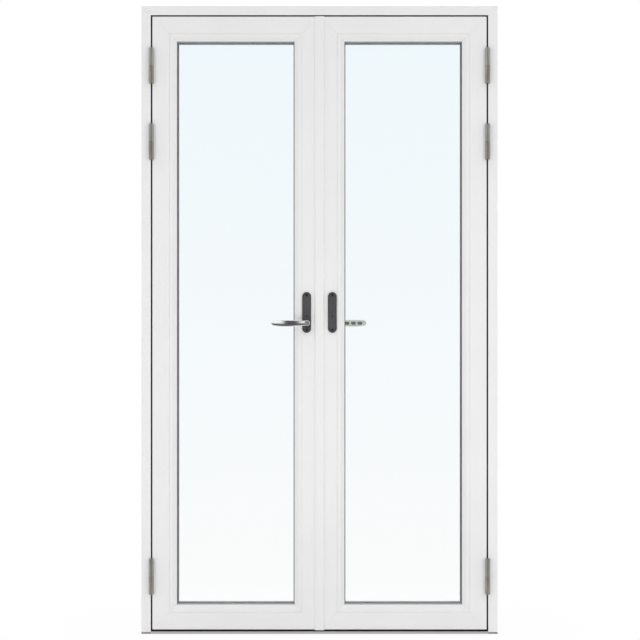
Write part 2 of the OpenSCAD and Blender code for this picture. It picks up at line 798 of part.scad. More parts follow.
module handle_plate(with_lever) {
    difference() {
        plate_blank();
        if (with_lever) translate([plate_shift, 0, -plate_rise])
            through(neck_r + run_clear, -plate_t - CUT, CUT);
        translate([0, 0, lock_hole_rise - plate_rise])
            through(lock_hole_r, -plate_t - CUT, lock_hole_d - plate_t);
        for (z = [-1, 1]) translate([0, 0, z * screw_pitch / 2]) screw_shape(run_clear, CUT);
    }
}

// Countersunk screw along Y with its head sunk in the plate face
module screw_shape(play, over) {
    translate([0, screw_sink - plate_t, 0]) rotate([-90, 0, 0]) {
        cylinder(r = screw_r + play, h = plate_t - screw_sink + over);
        translate([0, 0, -play])
            cylinder(r1 = screw_head_r + play, r2 = screw_r + play, h = screw_head_r - screw_r);
        if (play > 0) translate([0, 0, -screw_sink - CUT])
            cylinder(r = screw_head_r + play, h = screw_sink + CUT);
    }
}

// Countersunk screw with a hexagon socket in its head
module plate_screw(over) {
    difference() {
        screw_shape(0, over);
        translate([0, screw_sink - plate_t - CUT, 0]) rotate([-90, 0, 0])
            cylinder(r = drive_r, h = drive_d + CUT, $fn = DRIVE_SIDES);
    }
}

// Seats a handle piece on the outside of the left leaf, or on its room side
module outside() { translate([leaf_x1 - backset, y_out, 0]) children(); }

module inside() { translate([leaf_x1 - backset, y_out + leaf_t, 0]) mirror([0, 1, 0]) children(); }

module at_plate() { translate([-plate_shift, 0, plate_z]) children(); }

module left_outer_plate() { color(ANTHRACITE) outside() at_plate() handle_plate(true); }

module left_inner_plate() { color(ANTHRACITE) inside() at_plate() handle_plate(true); }

module right_outer_plate() { color(ANTHRACITE) right_side() outside() at_plate() handle_plate(false); }

module right_inner_plate() { right_side() left_inner_plate(); }

module left_plate_screws() {
    color(ANTHRACITE) for (z = [-1, 1]) {
        outside() at_plate() translate([0, 0, z * screw_pitch / 2]) plate_screw(screw_l - CUT);
        inside() at_plate() translate([0, 0, z * screw_pitch / 2]) plate_screw(screw_l / 2 - CUT);
    }
}

module right_plate_screws() { right_side() left_plate_screws(); }

// Levers: a loft of rounded sections along the grip, on a round neck
function end_round(x) = x < 0 ? sqrt(max(0, 1 - pow(x / neck_r, 2))) :
    x > grip_l - neck_r ? sqrt(max(0, 1 - pow((x - grip_l + neck_r) / neck_r, 2))) : 1;
function grip_x(i) = (grip_l + neck_r) * (1 - cos(180 * i / LEVER_RINGS)) / 2 - neck_r;
function grip_share(x) = min(1, max(0, x / grip_l));
function grip_height(x) = grip_h + grip_belly * sin(180 * pow(grip_share(x), BELLY_BIAS));
function grip_y(x) = -plate_t - neck_l - grip_bow * sin(180 * grip_share(x));
function grip_z(x) = BELLY_DROP * (grip_h - grip_height(x));
function grip_ring(x) =
    let (t = grip_t / 2 * max(END_THICKNESS, end_round(x)),
        h = grip_height(x) / 2 * max(END_HEIGHT, end_round(x)))
    [for (k = [0 : LEVER_SIDES - 1])
        let (a = 360 * k / LEVER_SIDES) [-x, grip_y(x) + t * cos(a), grip_z(x) + h * sin(a)]];

module grip() {
    rings = [for (i = [0 : LEVER_RINGS]) grip_ring(grip_x(i))];
    points = [for (ring = rings) each ring];
    n = LEVER_SIDES;
    walls = [for (i = [0 : LEVER_RINGS - 1], k = [0 : n - 1])
        [i * n + k, i * n + (k + 1) % n, (i + 1) * n + (k + 1) % n, (i + 1) * n + k]];
    caps = [[for (k = [n - 1 : -1 : 0]) k], [for (k = [0 : n - 1]) LEVER_RINGS * n + k]];
    polyhedron(points, concat(walls, caps));
}

// Pockets with round ends that lighten the back of the grip
module grip_cores() {
    flat = core_l - core_h;
    for (i = [0 : core_count - 1]) {
        x = core_start + i * core_pitch;
        translate([-x, grip_y(x) + grip_t / 2 - core_d, grip_z(x)]) {
            for (end = [-1, 1]) translate([end * flat / 2, 0, 0]) through(core_h / 2, 0, grip_t);
            translate([-flat / 2, 0, -core_h / 2]) cube([flat, grip_t, core_h]);
        }
    }
}

// Round neck that runs through the grip and ends in a chamfered disc
module neck() {
    front = plate_t + neck_l + grip_t / 2 + neck_proud;
    rotate([90, 0, 0]) rotate_extrude()
        polygon([[0, 0], [neck_r, 0], [neck_r, front - neck_chamfer], [neck_r - neck_chamfer, front],
            [0, front]]);
}

module lever() {
    translate([0, 0, spindle_z]) difference() {
        union() {
            grip();
            neck();
        }
        grip_cores();
        spindle_bar(spindle_side + run_clear, -plate_t - socket_l, CUT);
    }
}

module left_outer_lever() { color(SATIN) outside() lever(); }

module left_inner_lever() { color(SATIN) inside() lever(); }

module right_inner_lever() { right_side() left_inner_lever(); }

module left_spindle() {
    reach = plate_t + socket_l - CUT;
    color(STEEL) outside() translate([0, 0, spindle_z]) spindle_bar(spindle_side, -reach, leaf_t + reach);
}

module right_spindle() {
    reach = plate_t + socket_l - CUT;
    color(STEEL) right_side() outside() translate([0, 0, spindle_z])
        spindle_bar(spindle_side, lock_d - case_t / 2, leaf_t + reach);
}

left_jamb();
right_jamb();
head();
threshold_base();
threshold_plate();
left_jamb_cladding();
right_jamb_cladding();
head_cladding();
stop_seal();
left_hinge_pins();
right_hinge_pins();
head_keep();
threshold_keep();
left_hinge_stile();
left_lock_stile();
left_top_rail();
left_bottom_rail();
left_cladding();
left_glazing_beads();
left_glazing_seals();
left_outer_pane();
left_inner_pane();
left_spacer();
left_setting_blocks();
left_hinge_knuckles();
left_lock_case();
left_forend();
left_outer_plate();
left_inner_plate();
left_plate_screws();
meeting_strip();
left_outer_lever();
left_inner_lever();
left_spindle();
left_hub();
left_bolts();
left_drive_rods();
right_hinge_stile();
right_lock_stile();
right_top_rail();
right_bottom_rail();
right_cladding();
right_glazing_beads();
right_glazing_seals();
right_outer_pane();
right_inner_pane();
right_spacer();
right_setting_blocks();
right_hinge_knuckles();
right_lock_case();
right_forend();
right_outer_plate();
right_inner_plate();
right_plate_screws();
right_inner_lever();
right_spindle();
right_hub();
upper_shoot_bolt();
lower_shoot_bolt();
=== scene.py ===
"""Finishes, levers and studio of an outward opening pair of glazed doors."""

import json
import math

import bmesh
import bpy
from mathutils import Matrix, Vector


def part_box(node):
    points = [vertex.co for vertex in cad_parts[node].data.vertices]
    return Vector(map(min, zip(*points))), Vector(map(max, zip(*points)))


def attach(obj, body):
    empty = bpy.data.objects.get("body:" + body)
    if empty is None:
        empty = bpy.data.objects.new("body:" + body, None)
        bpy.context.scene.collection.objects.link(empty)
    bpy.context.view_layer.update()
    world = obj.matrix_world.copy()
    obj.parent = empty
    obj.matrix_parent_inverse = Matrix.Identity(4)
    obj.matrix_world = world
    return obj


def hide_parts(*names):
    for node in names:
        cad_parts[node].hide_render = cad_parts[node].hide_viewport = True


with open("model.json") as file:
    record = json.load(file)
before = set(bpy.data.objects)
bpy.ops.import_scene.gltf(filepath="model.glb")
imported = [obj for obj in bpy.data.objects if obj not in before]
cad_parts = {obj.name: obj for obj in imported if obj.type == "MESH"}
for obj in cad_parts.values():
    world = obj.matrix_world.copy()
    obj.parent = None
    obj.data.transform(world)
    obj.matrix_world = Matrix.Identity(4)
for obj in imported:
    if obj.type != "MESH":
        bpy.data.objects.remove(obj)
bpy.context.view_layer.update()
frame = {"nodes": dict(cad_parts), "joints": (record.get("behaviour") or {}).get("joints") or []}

NODES = frame["nodes"]
JOINTS = {joint["name"]: joint for joint in frame["joints"]}
SIDES = ("left", "right")

# Faces of the closed leaves and of the frame, read from the frame itself
LEAF_OUT_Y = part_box("left_cladding")[0].y
LEAF_IN_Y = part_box("left_lock_stile")[1].y
STOP_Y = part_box("stop_seal")[1].y
REBATE_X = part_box("threshold_plate")[1].x
HEAD_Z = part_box("left_jamb")[1].z
GLASS_Z0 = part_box("left_outer_pane")[0].z
GLASS_Z1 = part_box("left_outer_pane")[1].z
PLATE_OUT_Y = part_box("left_outer_plate")[0].y
PLATE_T = LEAF_OUT_Y - PLATE_OUT_Y
SPINDLE = Vector(JOINTS["left_handle_turn"]["pos_m"])

bl_info = {
    "name": "Glazed Double Doors",
    "version": (1, 0, 0),
    "blender": (4, 5, 0),
    "location": "View3D > Sidebar > Doors",
    "description": "Finishes, levers and studio of a pair of glazed doors",
    "category": "Object",
}


def colour(name, description, default):
    """A colour that a user would change."""
    return bpy.props.FloatVectorProperty(
        name=name, description=description, default=default, subtype="COLOR", size=3, min=0.0, max=1.0)


def length(name, description, default):
    """A length in metres."""
    return bpy.props.FloatProperty(
        name=name, description=description, default=default, unit="LENGTH", subtype="DISTANCE",
        min=0.0, precision=5)


def factor(name, description, default):
    """A share from 0 to 1."""
    return bpy.props.FloatProperty(
        name=name, description=description, default=default, subtype="FACTOR", min=0.0, max=1.0)


class PaintSettings(bpy.types.PropertyGroup):
    """White powder coat outside, white painted timber inside, bare hardwood below."""

    cladding: colour("Cladding", "Powder coat of the aluminium", (0.795, 0.79, 0.79))
    timber: colour("Timber", "Paint of the timber members", (0.79, 0.78, 0.765))
    # Painted light: the powder coat turns to this pale colour in narrow joints, where shade would fall
    joint: colour("Joints", "Paint in the narrow joints between the lengths", (0.97, 0.965, 0.96))
    # Painted shade: a near-black colour laid inside the rebate of the frame, where shade falls round the
    # closed leaves
    rebate: colour("Rebate", "Dark finish inside the rebate of the frame", (0.015, 0.0095, 0.0095))
    sill_dark: colour("Dark sill", "Darker tone of the hardwood of the threshold", (0.2, 0.175, 0.155))
    sill_pale: colour("Pale sill", "Paler tone of the hardwood of the threshold", (0.3, 0.275, 0.25))
    roughness: factor("Roughness", "Mean roughness of the paint", 0.42)
    edge: length("Edge", "Rounding of the folded edges", 0.0002)
    peel_depth: length("Peel depth", "Depth of the fine ripple in the powder coat", 0.00002)


class GlassSettings(bpy.types.PropertyGroup):
    """Painted sky reflection in the panes, and tones of their seals, spacers and setting blocks."""

    # Painted reflection: the panes' colour runs from this pale blue sky at the top to the near white at the
    # bottom
    painted_sky_top: colour("Top tint", "What one pane lets through at its top", (0.942, 0.983, 1.0))
    painted_sky_bottom: colour("Bottom tint", "What one pane lets through at its bottom", (0.994, 0.998, 0.998))
    ior: bpy.props.FloatProperty(
        name="IOR", description="Refractive index of the glass", default=1.45, min=1.0, max=2.0)
    mirror: factor("Mirror", "Specular level of the panes", 0.08)
    seal: colour("Seal", "Rubber of the glazing seals", (0.12, 0.127, 0.145))
    # Painted light: the level lengths of the seals, facing up and down alike, take this paler colour
    level_light: colour("Dust", "Rubber greyed by dust on the level lengths", (0.3, 0.31, 0.34))
    spacer: colour("Spacer", "Spacer between the panes", (0.6, 0.62, 0.7))
    block_dark: colour("Dark block", "Darker tone of the setting blocks", (0.16, 0.16, 0.165))
    block_pale: colour("Pale block", "Paler tone of the setting blocks", (0.2, 0.2, 0.2))


class MetalSettings(bpy.types.PropertyGroup):
    """Zinc, steel, lacquer and aluminium of the hardware."""

    zinc: colour("Zinc", "Zinc of the leaf half of a hinge", (0.415, 0.413, 0.39))
    # Painted reflection: the frame half of a hinge takes a darker, more olive copy of the same zinc
    zinc_painted_reflection: colour("Aged zinc", "Zinc of the frame half of a hinge", (0.375, 0.355, 0.31))
    steel: colour("Lock steel", "Bright zinc plate of the lock", (0.5, 0.5, 0.49))
    lever: colour("Lever steel", "Polished steel of the levers", (0.93, 0.93, 0.94))
    cast: colour("Lever back", "Unpolished back of the levers", (0.9, 0.905, 0.82))
    lacquer: colour("Lacquer", "Anthracite lacquer of the plates", (0.066, 0.064, 0.07))
    # Painted shade: the sloping rim of the plates is darker than their face
    rim: colour("Plate rim", "Lacquer on the sloping rim of the plates", (0.03, 0.028, 0.031))
    screw: colour("Screws", "Black finish of the plate screws", (0.02, 0.019, 0.021))
    anodised: colour("Anodised", "Matt aluminium of the threshold nose", (0.53, 0.515, 0.52))
    # Painted shade: the threshold plate turns to this colour behind the face of the leaves, where they
    # shade it
    tread: colour("Tread", "Dark tread of the threshold behind its nose", (0.2, 0.15, 0.14))
    edge: length("Edge", "Rounding of the edges of the handle plates", 0.0003)


class LeverSettings(bpy.types.PropertyGroup):
    """Form of the lever handles."""

    neck_radius: length("Neck radius", "Radius of the round neck", 0.0094)
    neck_length: length("Neck length", "From the plate face to the middle of the grip", 0.038)
    neck_proud: length("Neck end", "How far the neck's round end stands in front of the grip", 0.001)
    neck_chamfer: length("Neck chamfer", "Chamfer round the end of the neck", 0.001)
    socket_depth: length("Socket", "Depth of the spindle socket in the neck", 0.028)
    socket_side: length("Socket side", "Side of the square spindle socket", 0.00806)
    grip_length: length("Grip length", "From the spindle to the tip", 0.118)
    grip_height: length("Grip height", "Height of the grip at its neck", 0.016)
    grip_belly: length("Belly", "Extra height of the grip at its belly", 0.006)
    belly_bias: bpy.props.FloatProperty(
        name="Belly bias", description="How far the belly lies towards the tip", default=1.36,
        min=0.5, max=2.0)
    belly_drop: factor("Belly drop", "Share of the belly that moves the middle down", 0.2)
    grip_thickness: length("Thickness", "Thickness of the grip", 0.010)
    fullness: bpy.props.FloatProperty(
        name="Fullness", description="How full the oval of the grip is, 2 for an ellipse", default=2.8,
        min=2.0, max=4.0)
    grip_bow: length("Bow", "How far the grip bows away from the leaf", 0.0079)
    pocket_start: length("First pocket", "Distance of the first pocket from the spindle", 0.052)
    pocket_pitch: length("Pocket pitch", "Distance between neighbouring pockets", 0.022)
    pocket_length: length("Pocket length", "Length of a pocket", 0.016)
    pocket_height: length("Pocket height", "Height of a pocket", 0.010)
    pocket_depth: length("Pocket depth", "Depth of a pocket", 0.0045)
    pocket_count: bpy.props.IntProperty(
        name="Pockets", description="Number of pockets in the back of the grip", default=3, min=1, max=3)
    rings: bpy.props.IntProperty(
        name="Rings", description="Sections along the grip", default=72, min=12, max=160)
    sides: bpy.props.IntProperty(
        name="Sides", description="Points round a section", default=48, min=12, max=96)


class StudioSettings(bpy.types.PropertyGroup):
    """Camera, floor and light."""

    lens: bpy.props.FloatProperty(
        name="Lens", description="Focal length on a 36 mm sensor", default=76.4, unit="CAMERA")
    camera: bpy.props.FloatVectorProperty(
        name="Camera", description="Place of the camera", default=(0.0017, -4.5525, 1.04),
        subtype="TRANSLATION", unit="LENGTH")
    strip: bpy.props.FloatVectorProperty(
        name="Strip light", description="Place of the right strip light, mirrored for the left one",
        default=(1.9, -2.2, 1.5), subtype="TRANSLATION", unit="LENGTH")
    strip_width: length("Strip width", "Width of each strip light", 0.36)
    strip_height: length("Strip height", "Height of each strip light", 3.0)
    right_power: bpy.props.FloatProperty(
        name="Right power", description="Power of the right strip light", default=12.5, unit="POWER")
    left_power: bpy.props.FloatProperty(
        name="Left power", description="Power of the left strip light", default=10.0, unit="POWER")
    front_power: bpy.props.FloatProperty(
        name="Front power", description="Power of the low light in front", default=10.0, unit="POWER")
    front: bpy.props.FloatVectorProperty(
        name="Front light", description="Place of the low light in front", default=(0.0, -2.6, 0.3),
        subtype="TRANSLATION", unit="LENGTH")
    front_width: length("Front width", "Width of the low light in front", 1.6)
    front_height: length("Front height", "Height of the low light in front", 0.5)
    fill: factor("Fill", "Level of the light from all round", 0.4)
    sky: factor("Sky", "Extra light from straight above", 0.8)
    rear: factor("Rear", "Extra light from behind the doors", 0.3)
    mirror_front: colour("Camera side", "What metal mirrors from the camera's side", (0.085, 0.085, 0.1))
    mirror_floor: colour("Front floor", "What metal mirrors from the floor before it", (0.17, 0.16, 0.135))
    floor_tone: factor("Floor tone", "Paleness of the floor", 0.8)
    floor_white: factor("Floor white", "Share of plain white in the floor beside the doors", 0.93)


def add_node(tree, kind, inputs=None, **settings):
    """Adds a shader node, sets its options and fills or links its inputs."""
    node = tree.nodes.new("ShaderNode" + kind)
    for key, value in settings.items():
        setattr(node, key, value)
    for key, value in (inputs or {}).items():
        if isinstance(value, bpy.types.NodeSocket):
            tree.links.new(value, node.inputs[key])
        else:
            node.inputs[key].default_value = value
    return node


def math_node(tree, operation, first, second=0.0):
    """The result of one sum."""
    return add_node(tree, "Math", {0: first, 1: second}, operation=operation).outputs[0]


def ramp(tree, value, start, stop, low=0.0, high=1.0):
    """Goes from low to high while a value goes from start to stop."""
    return add_node(tree, "MapRange", {0: value, 1: start, 2: stop, 3: low, 4: high}).outputs[0]


def mix_colours(tree, share, first, second):
    """A colour between two others."""
    return add_node(tree, "Mix", {"Factor": share, 6: first, 7: second}, data_type="RGBA").outputs[2]


def mix_values(tree, share, first, second):
    """A value between two others."""
    return add_node(tree, "Mix", {"Factor": share, 2: first, 3: second}).outputs[0]


def axes(tree, kind="Object"):
    """X, Y and Z of the place on a piece, or of another coordinate."""
    return add_node(tree, "SeparateXYZ", {0: add_node(tree, "TexCoord").outputs[kind]}).outputs


def distance(tree, first, second):
    """How far a place lies away, from two sides of a right angle."""
    flat = add_node(tree, "CombineXYZ", {0: first, 1: second}).outputs[0]
    return add_node(tree, "VectorMath", {0: flat}, operation="LENGTH").outputs["Value"]


def new_group(name, inputs, outputs):
    """A node group with named sockets, and what it is given and gives back inside."""
    group = bpy.data.node_groups.new(name, "ShaderNodeTree")
    for title, (kind, default) in inputs.items():
        made = group.interface.new_socket(name=title, in_out="INPUT", socket_type="NodeSocket" + kind)
        made.default_value = default
    for title, kind in outputs.items():
        group.interface.new_socket(name=title, in_out="OUTPUT", socket_type="NodeSocket" + kind)
    return group, group.nodes.new("NodeGroupInput").outputs, group.nodes.new("NodeGroupOutput").inputs


def surface_grain():
    """Node group: fine and broad unevenness of a finish, drawn out along the member."""
    name = "surface_grain"
    if name in bpy.data.node_groups:
        return bpy.data.node_groups[name]
    group, given, result = new_group(
        name,
        {"Stretch": ("Vector", (1.0, 1.0, 1.0)), "Fine Scale": ("Float", 900.0),
         "Broad Scale": ("Float", 4.0)},
        {"Fine": "Float", "Broad": "Float"})
    place = add_node(group, "TexCoord").outputs["Object"]
    drawn = add_node(group, "VectorMath", {0: place, 1: given["Stretch"]}, operation="MULTIPLY").outputs[0]
    fine = add_node(group, "TexNoise", {"Vector": drawn, "Scale": given["Fine Scale"], "Detail": 3.0})
    broad = add_node(group, "TexNoise", {"Vector": drawn, "Scale": given["Broad Scale"], "Detail": 2.0})
    group.links.new(fine.outputs[0], result["Fine"])
    group.links.new(broad.outputs[0], result["Broad"])
    return group


# Where most of the values of a noise lie
NOISE_SPAN = (0.3, 0.7)

# Near black for painted shade deep in recesses, and plain white
NEAR_BLACK = (0.01, 0.01, 0.01, 1.0)
WHITE = (1.0, 1.0, 1.0, 1.0)


def tone_pair():
    """Node group: a colour that wanders between two shades of itself."""
    name = "tone_pair"
    if name in bpy.data.node_groups:
        return bpy.data.node_groups[name]
    group, given, result = new_group(
        name, {"Tone": ("Float", 0.5), "Low": ("Color", NEAR_BLACK), "High": ("Color", WHITE)},
        {"Colour": "Color"})
    spread = ramp(group, given["Tone"], *NOISE_SPAN)
    group.links.new(mix_colours(group, spread, given["Low"], given["High"]), result["Colour"])
    return group


def recess_shade():
    """Node group: turns to another colour where the surface lies deep in a recess, by ambient occlusion;
    painted shade with a dark Deep colour, painted light with a pale one.
    """
    name = "recess_shade"
    if name in bpy.data.node_groups:
        return bpy.data.node_groups[name]
    group, given, result = new_group(
        name,
        {"Colour": ("Color", WHITE), "Deep": ("Color", NEAR_BLACK), "Reach": ("Float", 0.006),
         "Contrast": ("Float", 2.0)},
        {"Colour": "Color"})
    # Ambient occlusion sets where the painted recess colour lies
    near = add_node(group, "AmbientOcclusion", {"Distance": given["Reach"]}, samples=8).outputs["AO"]
    clean = math_node(group, "POWER", near, given["Contrast"])
    group.links.new(mix_colours(group, clean, given["Deep"], given["Colour"]), result["Colour"])
    return group


# How far the painted shade reaches past an edge, so that it takes the edge in
EDGE_SLACK = 0.001


def rebate_mask():
    """Node group: where painted shade goes, 1 round the rebate of the frame, behind the face of the leaves,
    or inside both.
    """
    name = "rebate_mask"
    if name in bpy.data.node_groups:
        return bpy.data.node_groups[name]
    group, _, result = new_group(name, {}, {"Round": "Float", "Behind": "Float", "Inside": "Float"})
    x, y, z = axes(group)
    between = math_node(group, "LESS_THAN", math_node(group, "ABSOLUTE", x), REBATE_X + EDGE_SLACK)
    before = math_node(group, "LESS_THAN", y, STOP_Y + EDGE_SLACK)
    below = math_node(group, "LESS_THAN", z, HEAD_Z + EDGE_SLACK)
    around = math_node(group, "MULTIPLY", math_node(group, "MULTIPLY", between, before), below)
    behind = math_node(group, "GREATER_THAN", y, LEAF_OUT_Y + EDGE_SLACK)
    group.links.new(around, result["Round"])
    group.links.new(behind, result["Behind"])
    group.links.new(math_node(group, "MULTIPLY", around, behind), result["Inside"])
    return group


def leaf_facing():
    """Node group: from 1 where a face looks away from the leaf to -1 where it looks towards it."""
    name = "leaf_facing"
    if name in bpy.data.node_groups:
        return bpy.data.node_groups[name]
    group, _, result = new_group(name, {}, {"Facing": "Float"})
    outside = math_node(group, "SIGN", axes(group)[1])
    group.links.new(math_node(group, "MULTIPLY", axes(group, "Normal")[1], outside), result["Facing"])
    return group


def place_group(tree, group, **inputs):
    """Places a node group in a material and fills its inputs."""
    node = tree.nodes.new("ShaderNodeGroup")
    node.node_tree = group
    for key, value in inputs.items():
        name = key.replace("_", " ")
        if isinstance(value, bpy.types.NodeSocket):
            tree.links.new(value, node.inputs[name])
        else:
            node.inputs[name].default_value = value
    return node.outputs


def shade(rgb, share):
    """A colour made darker or lighter, with alpha."""
    return (*(min(1.0, c * share) for c in rgb), 1.0)


def shades(rgb, low, high):
    """A darker and a lighter shade of a colour."""
    return shade(rgb, low), shade(rgb, high)


def finish_material(name, low, high, roughness, spread, stretch=(1, 1, 1), fine=900.0, broad=4.0,
                    depth=0.00002, metallic=0.0, recess=0.0, deep=NEAR_BLACK, **plain):
    """A material whose colour, gloss and surface vary with its grain, and whose colour turns in recesses to
    a deep colour: painted shade when dark, painted light when pale.
    """
    # The frame brings plain materials, so no finish bears the name of one of them
    if name in bpy.data.materials:
        return bpy.data.materials[name]
    material = bpy.data.materials.new(name)
    material.use_nodes = True
    tree = material.node_tree
    shader = tree.nodes["Principled BSDF"]
    grain = place_group(tree, surface_grain(), Stretch=stretch, Fine_Scale=fine, Broad_Scale=broad)
    tone = place_group(tree, tone_pair(), Tone=grain["Broad"], Low=low, High=high)["Colour"]
    # Painted shade in recesses, and painted light where the deep colour is pale
    if recess > 0.0:
        tone = place_group(tree, recess_shade(), Colour=tone, Deep=deep, Reach=recess)["Colour"]
    tree.links.new(tone, shader.inputs["Base Color"])
    rough = ramp(tree, grain["Fine"], *NOISE_SPAN, roughness - spread, roughness + spread)
    tree.links.new(rough, shader.inputs["Roughness"])
    bump = add_node(tree, "Bump", {"Height": grain["Fine"], "Strength": 1.0, "Distance": depth})
    tree.links.new(bump.outputs[0], shader.inputs["Normal"])
    shader.inputs["Metallic"].default_value = metallic
    for key, value in plain.items():
        shader.inputs[key.replace("_", " ")].default_value = value
    return material


def recolour(material, mask, other):
    """Turns the colour of a finish to another one, as far as a mask says."""
    tree = material.node_tree
    base = tree.nodes["Principled BSDF"].inputs["Base Color"]
    tree.links.new(mix_colours(tree, mask, base.links[0].from_socket, other), base)


# How the grain of a member is drawn out along it
ALONG = {"upright": (1.0, 1.0, 0.03), "lying": (0.03, 1.0, 1.0)}


def cladding_paint(paint, name="white_powder_coat", joint=0.002):
    """White powder coat with a fine ripple, with painted light in narrow joints."""
    # Painted light in the joints, through a pale recess colour
    return finish_material(
        name, *shades(paint.cladding, 0.985, 1.01), roughness=paint.roughness, spread=0.05, fine=650.0,
        broad=5.0, depth=paint.peel_depth, recess=joint, deep=shade(paint.joint, 1.0),
        Specular_IOR_Level=0.45)


def timber_paint(paint, run):
    """White paint over timber whose grain still shows faintly along the member."""
    return finish_material(
        "white_timber_" + run, *shades(paint.timber, 0.97, 1.01), roughness=paint.roughness, spread=0.06,
        stretch=ALONG[run], fine=520.0, broad=24.0, depth=0.00005)


def overlay(material, name, dark, where):
    """A copy of a finish with a painted shade in one part of the rebate."""
    if name in bpy.data.materials:
        return bpy.data.materials[name]
    copy = material.copy()
    copy.name = name
    recolour(copy, place_group(copy.node_tree, rebate_mask())[where], shade(dark, 1.0))
    return copy


def frame_paint(paint, run):
    """Painted timber of the frame, with painted shade where it lines the rebate."""
    return overlay(timber_paint(paint, run), "frame_timber_" + run, paint.rebate, "Inside")


def frame_coat(paint, name, where):
    """Powder coat of the frame, with painted shade where it turns into the rebate."""
    return overlay(cladding_paint(paint), name, paint.rebate, where)


def glass_finish(glass):
    """Clear float glass whose colour carries a painted sky reflection, pale blue at the top and fading out
    towards the bottom.
    """
    name = "float_glass"
    if name in bpy.data.materials:
        return bpy.data.materials[name]
    material = bpy.data.materials.new(name)
    material.use_nodes = True
    tree = material.node_tree
    shader = tree.nodes["Principled BSDF"]
    rise = ramp(tree, axes(tree)[2], GLASS_Z0, GLASS_Z1)
    painted_sky = mix_colours(tree, rise, shade(glass.painted_sky_bottom, 1.0), shade(glass.painted_sky_top, 1.0))
    tree.links.new(painted_sky, shader.inputs["Base Color"])
    shader.inputs["Roughness"].default_value = 0.0
    shader.inputs["IOR"].default_value = glass.ior
    shader.inputs["Specular IOR Level"].default_value = glass.mirror
    shader.inputs["Transmission Weight"].default_value = 1.0
    return material


def seal_rubber(glass):
    """Dark extruded rubber, with painted light on its level lengths."""
    name = "glazing_rubber"
    if name in bpy.data.materials:
        return bpy.data.materials[name]
    material = finish_material(
        name, *shades(glass.seal, 0.9, 1.1), roughness=0.55, spread=0.08, fine=1400.0, broad=30.0)
    tree = material.node_tree
    # Painted light on faces that look up or down
    upright, level = 0.1, 0.3
    rise = math_node(tree, "ABSOLUTE", axes(tree, "Normal")[2])
    recolour(material, ramp(tree, rise, upright, level), shade(glass.level_light, 1.0))
    return material


def stop_rubber(paint):
    """Dark rubber of the stop seal, in the tone of the painted shade of the rebate."""
    return finish_material(
        "stop_rubber", *shades(paint.rebate, 0.9, 1.1), roughness=0.6, spread=0.08, fine=1400.0, broad=30.0)


# Rounding of edges: what is welded first, which faces count as one and which edges are sharp
WELD_REACH = 0.00001
FLAT_ANGLE = math.radians(0.5)
SHARP_ANGLE = math.radians(28)
EDGE_STEPS = 2


def dress(node, material, edge=0.0):
    """Gives a carried over piece its finish and, where asked, softly rounded edges."""
    piece = NODES[node]
    piece.data.materials.clear()
    piece.data.materials.append(material)
    if edge > 0.0:
        weld = piece.modifiers.new("weld", "WELD")
        weld.merge_threshold = WELD_REACH
        flat = piece.modifiers.new("flat", "DECIMATE")
        flat.decimate_type = "DISSOLVE"
        flat.angle_limit = FLAT_ANGLE
        round_off = piece.modifiers.new("edge", "BEVEL")
        round_off.width = edge
        round_off.segments = EDGE_STEPS
        round_off.limit_method = "ANGLE"
        round_off.angle_limit = SHARP_ANGLE
        round_off.harden_normals = True


def new_piece(name, mesh, body, slot, material, *replaced):
    """Puts a new mesh on a body in place of the nodes it stands for."""
    piece = bpy.data.objects.new(name, mesh)
    bpy.context.scene.collection.objects.link(piece)
    mesh.materials.append(material)
    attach(piece, body)
    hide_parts(*replaced)


class DOORS_OT_frame(bpy.types.Operator):
    """Paint the jambs, the head and their cladding, and colour the stop seal"""

    bl_idname = "doors.frame"
    bl_label = "Frame"

    def execute(self, context):
        paint = context.scene.door_paint
        # Painted shade lines the rebate of the jambs, the head and their cladding
        for side in SIDES:
            dress(side + "_jamb", frame_paint(paint, "upright"))
            dress(side + "_jamb_cladding", frame_coat(paint, "jamb_powder_coat", "Inside"), paint.edge)
        dress("head", frame_paint(paint, "lying"))
        # On the head cladding the painted shade also takes in a thin band of the front face along its lower
        # edge
        dress("head_cladding", frame_coat(paint, "head_powder_coat", "Round"), paint.edge)
        dress("stop_seal", stop_rubber(paint))
        return {"FINISHED"}


class DOORS_OT_threshold(bpy.types.Operator):
    """Finish the base board and the aluminium plate of the threshold"""

    bl_idname = "doors.threshold"
    bl_label = "Threshold"

    def execute(self, context):
        paint, metal = context.scene.door_paint, context.scene.door_metal
        wood = finish_material(
            "threshold_hardwood", shade(paint.sill_dark, 1.0), shade(paint.sill_pale, 1.0), roughness=0.6,
            spread=0.08, stretch=ALONG["lying"], fine=700.0, broad=120.0, depth=0.0001)
        plate = finish_material(
            "anodised_aluminium", *shades(metal.anodised, 0.94, 1.04), roughness=0.5, spread=0.06,
            stretch=(0.01, 1.0, 1.0), fine=2200.0, broad=300.0, depth=0.00001, metallic=1.0)
        dress("threshold_base", wood)
        # Painted shade on the plate behind the face of the leaves
        dress("threshold_plate", overlay(plate, "threshold_tread", metal.tread, "Behind"))
        return {"FINISHED"}


class DOORS_OT_leaf_timber(bpy.types.Operator):
    """Paint the stiles and rails of both leaves"""

    bl_idname = "doors.leaf_timber"
    bl_label = "Leaf timber"

    def execute(self, context):
        paint = context.scene.door_paint
        for side in SIDES:
            for stile in ("_hinge_stile", "_lock_stile"):
                dress(side + stile, timber_paint(paint, "upright"))
            for rail in ("_top_rail", "_bottom_rail"):
                dress(side + rail, timber_paint(paint, "lying"))
        return {"FINISHED"}


